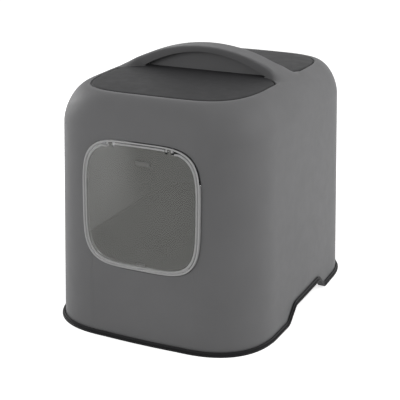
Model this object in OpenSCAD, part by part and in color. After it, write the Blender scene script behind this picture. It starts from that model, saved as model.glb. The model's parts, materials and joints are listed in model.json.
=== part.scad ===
// Hooded litter box with two hinged top lids, an arched carrying handle and a swinging front door.
// The part stands on the floor at z 0, centred in plan, with its front door towards -Y.

/* [Hood shell] */
// Width of the hood at the floor
hood_w = 390; // [380:1:400]
// Depth of the hood at the floor
hood_d = 518; // [508:1:528]
// Height of the top at its middle
hood_h = 410.6; // [405:0.1:416]
// Wall thickness of the hood and the lids
wall = 3; // [2.6:0.1:3.2]
// Lean of the walls, in degrees
draft = 1.6; // [1.2:0.1:2]
// Radius of the upright corners
corner_r = 125.6; // [118:0.1:132]
// Squareness of the upright corners, 2 is a circle
corner_n = 2.5; // [2.2:0.1:2.8]
// How far each long wall bulges at its middle
wall_bow = 1.7; // [1:0.1:2.5]
// Height where the walls start to roll over into the top
shoulder_z = 346; // [340:1:352]
// Inward reach of the roll over on the sides
shoulder_x = 34; // [30:1:38]
// Inward reach of the roll over at the front and back
shoulder_y = 32; // [28:1:36]
// Squareness of the roll over
shoulder_n = 1.7; // [1.5:0.1:2.2]
// Fall of the top towards the front and back edges
top_crown = 3; // [1:0.5:4]

/* [Top lids] */
// Half width of the lid openings
mouth_x = 151; // [149:0.5:151.5]
// Distance from the middle to the outer edge of a lid opening
mouth_y = 209.5; // [206:0.1:211]
// Squareness of the lid openings' outline
mouth_n = 4.35; // [4.1:0.05:4.5]
// Distance from the middle to the lid hinge pins
lid_pin_y = 63; // [62:0.5:65]
// Height of the lid hinge pins
lid_pin_z = 402.5; // [401.5:0.1:403]
// Radius of the lid hinge pins
lid_pin_r = 2; // [1.8:0.1:2.2]
// Gap round a lid
lid_gap = 1.6; // [1.2:0.1:1.8]

/* [Handle] */
// Height of the handle's top at its middle
handle_z = 453.5; // [448:0.5:458]
// Height of the handle's lower edge at its middle
handle_lip_z = 442.8; // [438:0.1:446]
// Half width of the handle
handle_half = 20; // [18:0.5:22]
// Thickness of the upright web under the handle
web_t = 8; // [6:0.5:9]

/* [Front door] */
// Height of the middle of the door
door_z = 234.2; // [230:0.1:238]
// Half width of the door opening inside its ring
door_a = 101.8; // [98:0.1:104]
// Half height of the door opening inside its ring
door_b = 103.5; // [100:0.1:106]
// Squareness of the door's outline
door_n = 4.25; // [3.8:0.05:4.6]
// Distance of each door hinge from the middle
door_hinge_x = 52; // [46:1:56]
// Height of the door hinge line above the middle of the door
door_hinge_v = 100; // [99.5:0.1:100.2]
// Radius of the door hinge pins
door_pin_r = 1.25; // [1:0.05:1.3]
// Thickness of the clear pane
pane_t = 2; // [1.6:0.1:2.2]

/* [Base tray] */
// Height of the rim band round the foot of the hood
rim_h = 8; // [7:0.5:9]
// How far the rim's lip stands out past the hood
rim_out = 5; // [4.5:0.1:6]
// How far the rim stands out above its lip
rim_mid = 2.4; // [2:0.1:3]
// Height of the tray's walls
tray_h = 118; // [100:1:125]
// Thickness of the tray's walls and floor
tray_t = 2.8; // [2.4:0.1:3.2]
// Half length of a hand recess at the floor
grip_foot = 90; // [88:1:94]
// Half length of a hand recess at its roof
grip_roof = 60.3; // [58:0.1:62]
// Height of a hand recess
grip_h = 25.3; // [24:0.1:28]
// Reach of a hand recess under the tray
grip_deep = 68; // [60:1:74]

/* [Hidden] */
$fn = 48;

hood_grey = [0.36, 0.36, 0.365];
dark_grey = [0.19, 0.19, 0.195];
pale_grey = [0.60, 0.60, 0.60];
smoke = [0.45, 0.45, 0.42, 0.6];
steel = [0.72, 0.72, 0.74];

lean = tan(draft);
corner_step = 11.25;
body_free = 0.3;
small = 0.05;

// Rounded plan outline

// A soft corner round the centre cx, cy with reach rx and ry
function corner_arc(cx, cy, rx, ry) = [for (t = [0 : corner_step : 90])
    [cx + rx * pow(cos(t), 2 / corner_n), cy + ry * pow(sin(t), 2 / corner_n)]];

// One quarter of the plan outline, from the +X wall's middle to just before the +Y wall's middle
function plan_quarter(a, b, r) = let(s = wall_bow) concat(
    [for (u = [0, 0.4, 0.75]) [a - s * u * u, (b - r) * u]],
    corner_arc(a - s - r, b - r, r, r - s),
    [for (u = [0.75, 0.4]) [(a - s - r) * u, b - s * u * u]]);

// The whole outline, running anticlockwise
function plan(a, b, r) =
    let(q = plan_quarter(a, b, r), k = len(q) - 1, top = [[0, b]]) concat(
        q, top,
        [for (i = [k : -1 : 0]) [-q[i][0], q[i][1]]],
        [for (i = [1 : k]) [-q[i][0], -q[i][1]]],
        [[0, -b]],
        [for (i = [k : -1 : 1]) [q[i][0], -q[i][1]]]);

// Plan outline of the hood, moved inwards by d from its outer face at the floor
function foot_plan(d) = plan(hood_w / 2 - d, hood_d / 2 - d, corner_r - d);

// Height of the top surface over a point of the plan
function top_at(p) = hood_h - top_crown * pow(p[1] / 200, 2) - 0.6 * pow(p[0] / 150, 2);

// A ring of the shell: inward reach ix and iy, and share g of the way from the shoulder to the top
function shell_ring(d, ix, iy, g, z_low) =
    let(r = corner_r - d - 0.5 * (ix + iy) / 2,
        o = plan(hood_w / 2 - d - ix, hood_d / 2 - d - iy, r))
    [for (p = o) [p[0], p[1], g < 0 ? z_low : shoulder_z + (top_at(p) - d - shoulder_z) * g]];

// All rings of the hood's outer skin, moved inwards by d, from the open foot to the top
function shell_rings(d, z_foot) =
    let(s = shoulder_z * lean) concat(
        [shell_ring(d, z_foot * lean, z_foot * lean, -1, z_foot)],
        [shell_ring(d, s, s, -1, shoulder_z)],
        [for (t = [17, 34, 50, 64, 77, 90])
            let(i = 1 - pow(cos(t), 2 / shoulder_n))
            shell_ring(d, s + shoulder_x * i, s + shoulder_y * i, pow(sin(t), 2 / shoulder_n), 0)],
        top_rings(d, [0.5]));

// Rings of the flat top, at shares u of the way from its edge to the middle
function top_rings(d, shares) =
    let(s = shoulder_z * lean)
    [for (u = shares) shell_ring(d, s + shoulder_x + u * 130, s + shoulder_y + u * 190, 1, 0)];

// A closed solid through a list of rings that all have the same number of points
module loft(rings) {
    n = len(rings[0]);
    m = len(rings);
    low = [for (c = [0 : 2]) [for (p = rings[0]) p[c]] * [for (i = [1 : n]) 1] / n];
    high = [for (c = [0 : 2]) [for (p = rings[m - 1]) p[c]] * [for (i = [1 : n]) 1] / n];
    points = concat([for (r = rings) for (p = r) p], [low, high]);
    sides = [for (j = [0 : m - 2]) for (i = [0 : n - 1]) let(k = (i + 1) % n)
        each [[j * n + i, (j + 1) * n + i, (j + 1) * n + k], [j * n + i, (j + 1) * n + k, j * n + k]]];
    foot = [for (i = [0 : n - 1]) [m * n, i, (i + 1) % n]];
    cap = [for (i = [0 : n - 1]) [m * n + 1, (m - 1) * n + (i + 1) % n, (m - 1) * n + i]];
    polyhedron(points = points, faces = concat(sides, foot, cap), convexity = 8);
}

// The whole body of the hood, solid, moved inwards by d
module hood_body(d, z_foot = -5) {
    loft(shell_rings(d, z_foot));
}

// The block under the flat top, d below its outer face
module top_block(d) {
    rings = top_rings(d, [-0.04, 0.5]);
    loft(concat([[for (p = rings[0]) [p[0], p[1], 300]]], rings));
}

// Hand recess outline, moved outwards by d, in Y and Z, with rounded corners

// Points of an arc that rounds the corner at b between a and c
function fillet(a, b, c, r) =
    let(u = (a - b) / norm(a - b), v = (c - b) / norm(c - b),
        half = acos(u * v) / 2,
        reach = r / tan(half),
        p = b + u * reach,
        mid = (u + v) / norm(u + v),
        centre = b + mid * r / sin(half),
        a0 = atan2(p[1] - centre[1], p[0] - centre[0]),
        turn = (180 - 2 * half) * (u[0] * v[1] - u[1] * v[0] > 0 ? -1 : 1))
    [for (k = [0 : 5]) centre + r * [cos(a0 + turn * k / 5), sin(a0 + turn * k / 5)]];

leg_angle = atan2(grip_h, grip_foot - grip_roof);
grip_miter = tan(leg_angle / 2);

function grip_edge(d) =
    let(foot = [grip_foot + grip_miter * d, d],
        roof = [grip_roof + grip_miter * d, grip_h + d],
        far = [hood_d, d], near = [0, grip_h + d])
    concat(fillet(far, foot, roof, 22 - d), fillet(foot, roof, near, 14 + d));

// Everything below the foot line of the hood, raised by d, with its arches longer by stretch at both ends
module below_grip(d, reach, stretch = 0) {
    half = [for (p = grip_edge(d)) [p[0] + stretch, p[1]]];
    edge = concat([[hood_d, -20], [hood_d, d]], half,
        [for (i = [len(half) - 1 : -1 : 0]) [-half[i][0], half[i][1]]],
        [[-hood_d, d], [-hood_d, -20]]);
    rotate([90, 0, 90]) linear_extrude(reach * 2, center = true) polygon(edge);
}

// The foot line's band between two heights, over both sides
module foot_band(low, high, stretch = 0) {
    difference() {
        below_grip(high, hood_w, stretch);
        below_grip(low, hood_w + 5, stretch);
    }
}

// Lid openings

// Where the handle's foot meets the lids, which go round it from there
lid_notch_x = 113;

// Outline of the front lid opening, moved inwards by g
function mouth_half(g) =
    concat(
        [[lid_notch_x - g, -(web_t / 2 + 0.6 + g)]],
        [for (x = [lid_notch_x : 5 : 144])
            let(w = (x - lid_notch_x) / 30) [x - g * w, -(lip_half(x) + 0.6 + g * (1.3 - w / 2))]],
        [[mouth_x - 1.8 - 2 * g, -53 - g / 2], [mouth_x - 1.4 - 1.6 * g, -65 - g / 2]],
        [for (t = [15, 25, 34, 42, 50, 58, 67, 77])
            [(mouth_x - g) * pow(cos(t), 2 / mouth_n), -(mouth_y - g) * pow(sin(t), 2 / mouth_n)]]);

module mouth(g) {
    half = mouth_half(g);
    middle = [[0, -(mouth_y - g)]];
    left = [for (i = [len(half) - 1 : -1 : 0]) [-half[i][0], half[i][1]]];
    polygon(concat(half, middle, left));
}

module mouth_column(g, low = 300, high = 470) {
    translate([0, 0, low]) linear_extrude(high - low) mouth(g);
}

// Door outlines

function door_outline(a, b_low, b_high, n_low, n_high) = [for (t = [0 : 5 : 355])
    let(c = cos(t), s = sin(t), n = s > 0 ? n_high : n_low, b = s > 0 ? b_high : b_low)
    [a * sign(c) * pow(abs(c), 2 / n), b * sign(s) * pow(abs(s), 2 / n)]];

// A slab of the door's outline between two depths behind the front face
module door_slab(a, b, front, back, n = door_n) {
    translate([0, back, 0]) rotate([90, 0, 0])
        linear_extrude(back - front) polygon(door_outline(a, b, b, n, n));
}

// The flap's slab, whose upper corners are rounder so that it swings clear of the ring
module flap_slab(d, front, back) {
    translate([0, back, 0]) rotate([90, 0, 0]) linear_extrude(back - front)
        polygon(door_outline(door_a - 0.8 - d, door_b - 0.8 - d, door_b - 1.3 - d, door_n, 3.7));
}

// Puts the door's own frame onto the leaning front wall
module at_door() {
    translate([0, -(hood_d / 2 - door_z * lean), door_z]) rotate([-draft, 0, 0]) children();
}

module along_x(r, low, high) {
    translate([low, 0, 0]) rotate([0, 90, 0]) cylinder(r = r, h = high - low);
}

flap_mid = 1;
flap_half = 1.3;
ring_wide = 2.8;
ring_front = -1.4;
ring_back = 14;
ring_top_back = 2.6;
door_bore_gap = 0.6;
knuckle_r = 2.4;
knuckle_half = 3;
ear_t = 3;
ear_r = 2.6;

// Base tray

// Stations along the rim, close together round the hand recesses
rim_stops = [0, 50, 55, 59, 63, 67, 72, 78, 84, 88, 92, 96, 101, 116];

function rim_quarter(a, b, r) = let(s = wall_bow, h = b - r) concat(
    [for (y = rim_stops) [a - s * pow(y / h, 2), y]],
    corner_arc(a - s - r, b - r, r, r - s),
    [for (u = [0.75, 0.4]) [(a - s - r) * u, b - s * u * u]]);

function rim_plan(d) =
    let(q = rim_quarter(hood_w / 2 + d, hood_d / 2 + d, corner_r + d), k = len(q) - 1)
    concat(q, [[0, hood_d / 2 + d]],
        [for (i = [k : -1 : 0]) [-q[i][0], q[i][1]]],
        [for (i = [1 : k]) [-q[i][0], -q[i][1]]],
        [[0, -hood_d / 2 - d]],
        [for (i = [k : -1 : 1]) [q[i][0], -q[i][1]]]);

// Height of the foot line over the floor at a distance y from the middle of a side, raised by d
function foot_rise(y, d) = lookup(abs(y), grip_edge(d));

// The rim's section: outward offset and share of its height, from its inner foot round the outside
rim_start = 1;
rim_section = [[rim_start, 0], [rim_out - 0.6, 0], [rim_out, 0.07], [rim_out, 0.3], [rim_out - 0.5, 0.38],
               [rim_out - 1.3, 0.42], [rim_mid + 0.4, 0.44], [rim_mid, 0.5], [rim_mid, 0.9],
               [rim_mid - 0.5, 1], [rim_start, 0.97]];

module rim_lip() {
    outlines = [for (s = rim_section) rim_plan(s[0])];
    n = len(outlines[0]);
    m = len(rim_section);
    points = [for (j = [0 : m - 1]) for (p = outlines[j])
        let(low = foot_rise(p[1], 0), high = foot_rise(p[1], rim_h),
            side = abs(p[0]) > hood_w / 4 ? 1 : 0)
        [p[0], p[1], side * (low + (high - low) * rim_section[j][1])
            + (1 - side) * rim_h * rim_section[j][1]]];
    faces = [for (j = [0 : m - 1]) for (i = [0 : n - 1])
        let(k = (i + 1) % n, q = (j + 1) % m)
        each [[j * n + i, q * n + k, j * n + k], [j * n + i, q * n + i, q * n + k]]];
    polyhedron(points = points, faces = faces, convexity = 8);
}

tray_in_low = 30;
tray_in_high = 10.5;
floor_z = 4;

function tray_ring(d, z) =
    let(i = tray_in_low + (tray_in_high - tray_in_low) * (z - floor_z) / (tray_h - floor_z) + d)
    [for (p = foot_plan(i)) [p[0], p[1], z]];

module tray_block(d, low, high) {
    loft([tray_ring(d, low), tray_ring(d, high)]);
}

// A hand recess under one side of the tray, swollen by d, with a sloping inner end
module hand_recess(side, d) {
    half = grip_edge(d);
    edge = concat([[0, -1]], [[grip_foot + 30, -1]], [for (p = half) [min(p[0], grip_foot + 30), p[1]]]);
    outline = concat(edge, [for (i = [len(edge) - 1 : -1 : 1]) [-edge[i][0], edge[i][1]]]);
    inner_x = hood_w / 2 - grip_deep - d;
    intersection() {
        translate([side * (inner_x + 60), 0, 0])
            rotate([90, 0, 90]) linear_extrude(120, center = true) polygon(outline);
        mirror([side < 0 ? 1 : 0, 0, 0]) rotate([90, 0, 0]) linear_extrude(2 * hood_d, center = true)
            polygon([[inner_x, -1], [inner_x + 14, grip_h + 1 + d], [hood_w, grip_h + 1 + d], [hood_w, -1]]);
    }
}

flange_in = 5;
flange_skirt = 2;
flange_stretch = 50;

// A wall that stands between two insets of the hood's foot outline
module foot_wall(outer, inner) {
    difference() {
        translate([0, 0, -1]) linear_extrude(60) polygon(foot_plan(outer));
        translate([0, 0, -2]) linear_extrude(62) polygon(foot_plan(inner));
    }
}

// The flange from the foot of the tray's walls out to the rim: the groove that the hood's foot
// stands in, the skirt beside it and the inner part, which rises over a longer arch than the rim
module foot_flange() {
    intersection() {
        foot_wall(-rim_start - 0.6, flange_in + flange_skirt);
        foot_band(0.4, tray_t);
    }
    intersection() {
        foot_wall(flange_in, flange_in + flange_skirt);
        difference() {
            below_grip(tray_t, hood_w, flange_stretch);
            below_grip(0, hood_w + 5);
        }
    }
    intersection() {
        foot_wall(flange_in, tray_in_low + 2);
        foot_band(0, tray_t, flange_stretch);
    }
}

// The tray's walls, with a thicker lip along their top
module tray_walls() {
    lip_h = 4;
    lip_t = 1.6;
    difference() {
        tray_block(0, 0, tray_h);
        tray_block(tray_t, -1, floor_z);
        difference() {
            tray_block(tray_t, floor_z + tray_t, tray_h + 1);
            difference() {
                tray_block(0, tray_h - lip_h, tray_h);
                tray_block(tray_t + lip_t, tray_h - lip_h - 1, tray_h + 1);
            }
        }
    }
}

// The raised roofs over the two hand recesses, inside the tray
module recess_roofs() {
    intersection() {
        union() {
            hand_recess(1, tray_t);
            hand_recess(-1, tray_t);
        }
        tray_block(0.4, floor_z, grip_h + 12);
    }
}

module base_tray() {
    color(dark_grey) {
        rim_lip();
        foot_flange();
        difference() {
            union() {
                tray_walls();
                recess_roofs();
                floor_ribs();
            }
            hand_recess(1, 0);
            hand_recess(-1, 0);
        }
    }
}

foot_x = 105;
foot_y = 185;
foot_r = 17;

// Ribs and round feet under the floor, which carry the litter's weight
module floor_ribs() {
    for (x = [-1, 1], y = [-1, 1]) translate([x * foot_x, y * foot_y, 0]) cylinder(r = foot_r, h = floor_z + 1);
    for (y = [-1, 0, 1]) translate([-110, y * foot_y - 1.5, 0]) cube([220, 3, floor_z + 1]);
    for (x = [-1, 1]) translate([x * foot_x - 1.5, -foot_y, 0]) cube([3, 2 * foot_y, floor_z + 1]);
    cylinder(r = foot_r, h = floor_z + 1);
}

// Hood

// Half width of the handle's lower edge, which flares into its feet
function lip_half(x) = handle_half - 2 + (abs(x) > 112 ? 40 * pow((abs(x) - 112) / 38, 2.1) : 0);
function top_half(x) = handle_half + (abs(x) > 112 ? 34 * pow((abs(x) - 112) / 42, 1.9) : 0);
function handle_top(x) = handle_z - 0.00181 * x * x;
function handle_lip(x) = handle_lip_z - 0.00245 * x * x;
function handle_round(x) = 2.5 + 3 * max(0, (abs(x) - 80) / 40);

// Height of the hood's outer face under the handle's foot
function deck_at(x) =
    let(u = max(0, (abs(x) - (hood_w / 2 - shoulder_z * lean - shoulder_x)) / shoulder_x))
    shoulder_z + (top_at([x, 40]) - shoulder_z) * pow(1 - pow(u, shoulder_n), 1 / shoulder_n);

// How far the handle's foot stands over that face, until it sinks into the shoulder
function foot_over(x) =
    let(a = abs(x)) a < 153 ? handle_top(x) - deck_at(x) : 1.4 - 2.6 * (a - 153) / 13;

// How deep the handle's underside lies in the wall of the top
foot_sunk = 1.5;

// Share of the change from the handle's own section to the soft swell of its foot
function foot_share(x) = let(u = min(1, max(0, (abs(x) - 114) / 26))) u * u * (3 - 2 * u);

// One side of the handle's section, from its lower edge up to its flat top
function handle_side(x) =
    let(zt = handle_top(x), zl = max(handle_lip(x), deck_at(x) - foot_sunk),
        wl = lip_half(x), wt = top_half(x), r = handle_round(x))
    concat([[wl, zl], [(wl + wt) / 2, (zl + zt - r) / 2]],
        [for (t = [0, 25, 50, 70, 90]) [wt - r + r * cos(t), zt - r + r * sin(t)]],
        [[wt * 0.4, zt]]);

// The same points on the swell, which runs out flat onto the hood
function foot_side(x) =
    let(w = min(66, lip_half(x)), z = deck_at(x) - foot_sunk, h = foot_over(x) + foot_sunk)
    [for (t = [1, 0.93, 0.85, 0.75, 0.63, 0.49, 0.33, 0.16]) [w * t, z + h * pow(1 - t * t, 1.6)]];

function handle_section(x) =
    let(c = foot_share(x), a = handle_side(x), b = foot_side(x), k = len(a) - 1,
        side = [for (i = [0 : k]) a[i] * (1 - c) + b[i] * c])
    concat(side, [for (i = [k : -1 : 0]) [-side[i][0], side[i][1]]]);

handle_stops = [-166, -161, -157, -152, -147, -142, -137, -133, -129, -125, -121, -117, -113,
                -106, -96, -84, -70, -54, -36, -18];

module handle() {
    stops = concat(handle_stops, [0], [for (i = [len(handle_stops) - 1 : -1 : 0]) -handle_stops[i]]);
    loft([for (x = stops) [for (p = handle_section(x)) [x, p[0], p[1]]]]);
}

// The upright web between the lids, which carries the handle
module web() {
    profile = concat([[-150, 396], [150, 396], [150, hood_h - 2.2]],
        [for (x = [110 : -20 : -110]) [x, handle_lip(x) + 3]], [[-150, hood_h - 2.2]]);
    rotate([90, 0, 0]) linear_extrude(web_t, center = true) polygon(profile);
}

ledge_in = 6;
ledge_z = 401.6;
ledge_end = 80;

// The ledge inside a lid opening on which the lid's edge rests
module ledge() {
    translate([0, 0, ledge_z]) linear_extrude(30) intersection() {
        difference() {
            mouth(-3);
            mouth(ledge_in);
        }
        translate([-hood_w / 2, -hood_d / 2]) square([hood_w, hood_d / 2 - ledge_end]);
    }
}

// What a lid opening takes out of the hood's top
module mouth_cut() {
    difference() {
        mouth_column(0);
        top_block(wall + body_free);
    }
    translate([0, 0, 300]) linear_extrude(170) {
        mouth(ledge_in);
        intersection() {
            mouth(0);
            translate([-hood_w / 2, -ledge_end]) square([hood_w, ledge_end]);
        }
    }
}

pin_in = 126;
pin_out = 151;
boss_r = 4.2;
bracket_r = 3.6;

// A bracket under the hood's top that holds one lid pin
module pin_bracket() {
    translate([0, -lid_pin_y, lid_pin_z]) {
        along_x(bracket_r, 140.5, pin_out + 2);
        translate([149.2, -bracket_r, 0]) cube([5, 2 * bracket_r, 5.2]);
    }
}

// The collar round the door opening, cut back at its top so that the flap can swing
module door_collar() {
    a = door_a + ring_wide;
    b = door_b + ring_wide;
    at_door() difference() {
        door_slab(a + 3.4, b + 3.4, -12, 15);
        translate([-200, 4.6, 52]) cube([400, 30, 80]);
    }
}

module hood() {
    bore = ring_wide + door_bore_gap;
    color(hood_grey) difference() {
        union() {
            difference() {
                hood_body(0);
                difference() {
                    hood_body(wall, -6);
                    door_collar();
                    ledge();
                    mirror([0, 1, 0]) ledge();
                }
                mouth_cut();
                mirror([0, 1, 0]) mouth_cut();
            }
            handle();
            web();
            for (sx = [0, 1], sy = [0, 1]) mirror([sx, 0, 0]) mirror([0, sy, 0]) pin_bracket();
        }
        below_grip(tray_t + body_free, hood_w);
        at_door() door_slab(door_a + bore, door_b + bore, -14, 17);
        for (sx = [0, 1], sy = [-1, 1]) mirror([sx, 0, 0])
            translate([0, sy * lid_pin_y, lid_pin_z]) along_x(lid_pin_r, 140, pin_out);
    }
}

// Lids

lid_foot_z = 399;

module lid() {
    difference() {
        union() {
            difference() {
                mouth_column(lid_gap, lid_foot_z);
                difference() {
                    top_block(wall);
                    for (x = [-60, 60]) translate([x - 1.2, -mouth_y + 22, 350])
                        cube([2.4, mouth_y - 60, 100]);
                }
                above_top();
            }
            for (s = [-1, 1]) translate([0, -lid_pin_y, lid_pin_z]) {
                along_x(boss_r, min(s * pin_in, s * 139.5), max(s * pin_in, s * 139.5));
                translate([s * 132.75 - 6.75, -boss_r, 0]) cube([13.5, 2 * boss_r, 5.6]);
            }
        }
        translate([0, -lid_pin_y, lid_pin_z]) along_x(lid_pin_r + small, -141, 141);
    }
}

// Everything above the flat top's outer face
module above_top() {
    difference() {
        translate([-250, -300, 305]) cube([500, 600, 200]);
        top_block(0);
    }
}

module front_lid() {
    color(dark_grey) lid();
}

module rear_lid() {
    color(dark_grey) mirror([0, 1, 0]) lid();
}

module lid_pin(sx, sy) {
    low = sx > 0 ? pin_in + 1 : -pin_out;
    color(steel) translate([0, sy * lid_pin_y, lid_pin_z]) along_x(lid_pin_r, low, low + pin_out - pin_in - 1);
}

// Door ring, with ears that hold the hinge pins

module ring_ears() {
    for (s = [-1, 1], k = [-1, 1]) {
        x = s * door_hinge_x + k * (knuckle_half + 0.4 + ear_t / 2);
        translate([0, flap_mid, door_hinge_v]) along_x(ear_r, x - ear_t / 2, x + ear_t / 2);
        translate([x - ear_t / 2, flap_mid - 1.3, door_hinge_v]) cube([ear_t, 2.6, 4.2]);
    }
}

module door_ring() {
    color(pale_grey) at_door() difference() {
        union() {
            difference() {
                union() {
                    door_slab(door_a + ring_wide, door_b + ring_wide, ring_front + 0.5, ring_back);
                    door_slab(door_a + ring_wide - 0.6, door_b + ring_wide - 0.6, ring_front, ring_back);
                }
                door_slab(door_a, door_b, ring_front - 1, ring_back + 1);
                door_slab(door_a + 0.7, door_b + 0.7, ring_front - 1, ring_front + 0.8);
                translate([-200, ring_top_back, 50]) cube([400, 30, 80]);
                for (s = [-1, 1]) translate([0, flap_mid, door_hinge_v])
                    along_x(knuckle_r + 0.4, s * door_hinge_x - knuckle_half - 0.4,
                            s * door_hinge_x + knuckle_half + 0.4);
            }
            ring_ears();
        }
        for (s = [-1, 1]) translate([0, flap_mid, door_hinge_v])
            along_x(door_pin_r, s * door_hinge_x - 8, s * door_hinge_x + 8);
        translate([-8.2, flap_mid - 0.2, -door_b - 2.2]) cube([16.4, 8.2, 2.4]);
    }
}

module door_pin(s) {
    color(steel) at_door() translate([0, flap_mid, door_hinge_v])
        along_x(door_pin_r, s * door_hinge_x - 6.3, s * door_hinge_x + 6.3);
}

module ring_magnet() {
    color(steel) at_door() translate([-8.2, flap_mid - 0.2, -door_b - 2.2]) cube([16.4, 8.2, 2]);
}

// Flap: a clear pane with a soft edge strip, hung on two knuckles

module hinge_notches(grow) {
    for (s = [-1, 1]) translate([s * door_hinge_x - 8 - grow, -10, door_hinge_v - 5.2 - grow])
        cube([16 + 2 * grow, 30, 20]);
}

module flap_pane() {
    color(smoke) at_door() difference() {
        union() {
            difference() {
                flap_slab(2, flap_mid - pane_t / 2, flap_mid + pane_t / 2);
                hinge_notches(0);
            }
            for (s = [-1, 1]) translate([0, flap_mid, door_hinge_v]) {
                along_x(knuckle_r, s * door_hinge_x - knuckle_half, s * door_hinge_x + knuckle_half);
                translate([s * door_hinge_x - knuckle_half, -pane_t / 2, -7]) cube([2 * knuckle_half, pane_t, 7]);
            }
            translate([-9, flap_mid - 1.9, -door_b + 5]) cube([18, 3.8, 5.4]);
        }
        for (s = [-1, 1]) translate([0, flap_mid, door_hinge_v])
            along_x(door_pin_r + small, s * door_hinge_x - 5, s * door_hinge_x + 5);
        translate([-7.5, flap_mid - 1, -door_b + 6]) cube([15, 4, 3.4]);
    }
}

module flap_seal() {
    color(pale_grey) at_door() difference() {
        flap_slab(0, flap_mid - flap_half, flap_mid + flap_half);
        flap_slab(3.2, flap_mid - 5, flap_mid + 5);
        flap_slab(2, flap_mid - pane_t / 2, flap_mid + pane_t / 2);
        hinge_notches(0.4);
        translate([-9, flap_mid - 5, -door_b + 5]) cube([18, 10, 5.4]);
    }
}

module flap_magnet() {
    color(steel) at_door() translate([-7.5, flap_mid - 1, -door_b + 6]) cube([15, 2.6, 3.4]);
}

base_tray();
hood();
front_lid();
rear_lid();
lid_pin(-1, -1);  // front_lid_pin_left
lid_pin(1, -1);  // front_lid_pin_right
lid_pin(-1, 1);  // rear_lid_pin_left
lid_pin(1, 1);  // rear_lid_pin_right
door_ring();
door_pin(-1);  // door_pin_left
door_pin(1);  // door_pin_right
flap_pane();
flap_seal();
flap_magnet();
ring_magnet();
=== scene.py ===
import json
import math

import bmesh
import bpy
from mathutils import Matrix, Vector


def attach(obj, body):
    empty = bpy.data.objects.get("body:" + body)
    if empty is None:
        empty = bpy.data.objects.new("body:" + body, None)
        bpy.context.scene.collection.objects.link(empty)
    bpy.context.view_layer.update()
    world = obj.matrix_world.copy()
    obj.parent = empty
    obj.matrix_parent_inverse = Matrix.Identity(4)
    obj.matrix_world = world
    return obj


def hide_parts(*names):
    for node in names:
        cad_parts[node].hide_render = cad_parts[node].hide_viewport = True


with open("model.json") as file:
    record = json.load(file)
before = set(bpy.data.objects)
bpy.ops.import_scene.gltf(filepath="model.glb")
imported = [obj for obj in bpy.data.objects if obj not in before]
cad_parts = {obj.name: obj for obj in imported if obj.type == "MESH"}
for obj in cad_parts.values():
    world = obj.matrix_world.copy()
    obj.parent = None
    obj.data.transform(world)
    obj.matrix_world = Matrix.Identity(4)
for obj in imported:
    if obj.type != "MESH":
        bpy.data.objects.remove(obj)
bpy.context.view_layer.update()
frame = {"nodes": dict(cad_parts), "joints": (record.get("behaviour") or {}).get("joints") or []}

bl_info = {
    "name": "Hooded litter box",
    "version": (1, 0, 0),
    "blender": (4, 5, 0),
    "location": "View3D > Sidebar > Litter box",
    "description": "Models a hooded litter box with top lids, a handle and a door flap",
    "category": "Object",
}

JOINTS = {joint["name"]: joint for joint in frame["joints"]}
LID_HINGE_Y = JOINTS["rear_lid_hinge"]["pos_m"][1]
LID_HINGE_Z = JOINTS["rear_lid_hinge"]["pos_m"][2]


# Sizes and colours


def length(label, text, default):
    return bpy.props.FloatProperty(name=label, description=text, default=default, unit="LENGTH")


def share(label, text, default):
    return bpy.props.FloatProperty(name=label, description=text, default=default)


def colour(label, text, default):
    return bpy.props.FloatVectorProperty(
        name=label, description=text, default=default, size=3, min=0, max=1, subtype="COLOR")


class HoodSizes(bpy.types.PropertyGroup):
    """Shape of the hood's moulded shell"""

    width: length("Width", "Width of the hood at the floor", 0.390)
    depth: length("Depth", "Depth of the hood at the floor", 0.518)
    height: length("Height", "Height of the top at its middle", 0.4106)
    wall: length("Wall", "Thickness of the shell", 0.003)
    draft: bpy.props.FloatProperty(
        name="Draft", description="Lean of the walls", default=math.radians(1.6), subtype="ANGLE")
    corner: length("Corner radius", "Radius of the upright corners", 0.1256)
    corner_power: share("Corner squareness", "2 is a circle", 2.5)
    bow: length("Bow", "How far each wall bulges at its middle", 0.0017)
    shoulder_z: length("Shoulder height", "Where the walls start to roll over", 0.346)
    shoulder_x: length("Shoulder reach, sides", "Inward reach of the roll over", 0.034)
    shoulder_y: length("Shoulder reach, ends", "Inward reach of the roll over", 0.032)
    shoulder_power: share("Shoulder squareness", "2 is a circle", 1.7)
    crown_y: length("Crown, lengthways", "Fall of the top towards the ends", 0.003)
    crown_x: length("Crown, crossways", "Fall of the top towards the sides", 0.0006)


class LidSizes(bpy.types.PropertyGroup):
    """Shape of the two openings in the top and of their lids"""

    half_width: length("Half width", "Half width of the openings", 0.151)
    reach: length("Reach", "Distance from the middle to the opening's outer edge", 0.2095)
    power: share("Squareness", "Squareness of the openings' outline", 4.35)
    notch: length("Notch", "Distance from the middle to where a lid meets the handle's foot", 0.113)
    gap: length("Gap", "Gap round a lid", 0.0016)
    edge: length("Edge radius", "Rounding of the lid's upper edge", 0.0034)
    foot_z: length("Foot height", "Height of the lid's lower edge", 0.399)
    ledge_in: length("Ledge", "Width of the ledge that a lid rests on", 0.006)
    ledge_z: length("Ledge height", "Height of the ledge's underside", 0.4016)
    ledge_end: length("Ledge end", "Distance of the ledge's end from the middle", 0.080)
    boss: length("Boss radius", "Radius of the hinge bosses", 0.0042)
    bracket: length("Bracket radius", "Radius of the brackets that hold the pins", 0.0036)
    pin: length("Pin radius", "Radius of the hinge pins", 0.002)


class HandleSizes(bpy.types.PropertyGroup):
    """Shape of the carrying handle and the web under it"""

    top_z: length("Top height", "Height of the handle at its middle", 0.4535)
    lip_z: length("Lip height", "Height of the handle's lower edge at its middle", 0.4428)
    half: length("Half width", "Half width of the handle", 0.020)
    reach: length("Reach", "Distance from the middle to the handle's end", 0.166)
    sunk: length("Sunk", "How deep the feet's underside lies in the wall of the top", 0.0015)
    web: length("Web", "Thickness of the upright web", 0.008)


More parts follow.
